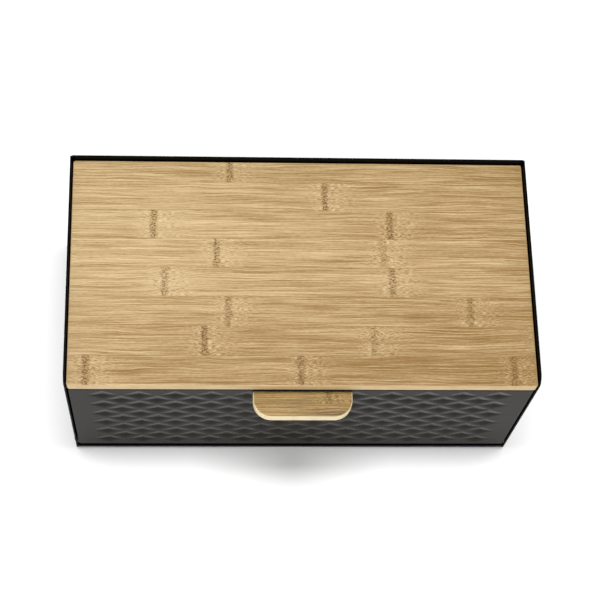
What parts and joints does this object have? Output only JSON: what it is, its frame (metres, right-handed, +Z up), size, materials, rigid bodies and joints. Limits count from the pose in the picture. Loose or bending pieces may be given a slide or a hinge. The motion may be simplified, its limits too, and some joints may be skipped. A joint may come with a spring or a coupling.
{
  "type": "bread box",
  "caption": "Black sheet-steel bread box with a diamond-embossed drop-front door, a bamboo pull and a lift-off bamboo board as its lid.",
  "frame": {"origin": "on the worktop, under the centre of the whole box's bounding box, pull included", "axes": "+Z up, the door and its pull face -Y, +X runs along the width to the right as seen from the front"},
  "size_m": [0.4028, 0.2342, 0.181],
  "materials": {
    "shell_black": "satin black powder coat",
    "door_grey": "satin dark grey enamel on embossed steel",
    "blackened_steel": "black zinc plate",
    "zinc": "bright zinc plate",
    "bamboo": "oiled side-grain bamboo",
    "bamboo_pull": "oiled bamboo",
    "rubber": "matte rubber",
    "silicone": "translucent silicone",
    "nylon": "black nylon"
  },
  "bodies": {
    "box": {"base_tray": "shell_black", "left_side_panel": "shell_black", "right_side_panel": "shell_black", "back_panel": "shell_black", "left_lid_ledge": "shell_black", "right_lid_ledge": "shell_black", "rear_lid_ledge": "shell_black", "front_top_rail": "shell_black", "door_magnets": "zinc", "door_bumpers": "rubber", "left_hinge_pin": "blackened_steel", "right_hinge_pin": "blackened_steel", "left_stop_stud": "blackened_steel", "right_stop_stud": "blackened_steel", "base_rivets": "blackened_steel", "back_rivets": "blackened_steel", "ledge_rivets": "blackened_steel", "front_left_foot": "rubber", "front_right_foot": "rubber", "rear_left_foot": "rubber", "rear_right_foot": "rubber", "foot_screws": "zinc", "lid_pads": "silicone"},
    "door": {"door_panel": "door_grey", "left_hinge_plate": "blackened_steel", "right_hinge_plate": "blackened_steel", "left_hinge_bush": "nylon", "right_hinge_bush": "nylon", "hinge_plate_rivets": "blackened_steel", "door_pull": "bamboo_pull", "pull_screws": "zinc"},
    "lid": {"lid_board": "bamboo"}
  },
  "joints": [
    {"name": "door_hinge", "type": "hinge", "parent": "box", "child": "door", "pos_m": [0, -0.0881, 0.016], "axis": [1, 0, 0], "range_deg": [0, 80]},
    {"name": "lid_lift", "type": "slide", "parent": "box", "child": "lid", "axis": [0, 0, 1], "range_m": [0, 0.12]}
  ]
}
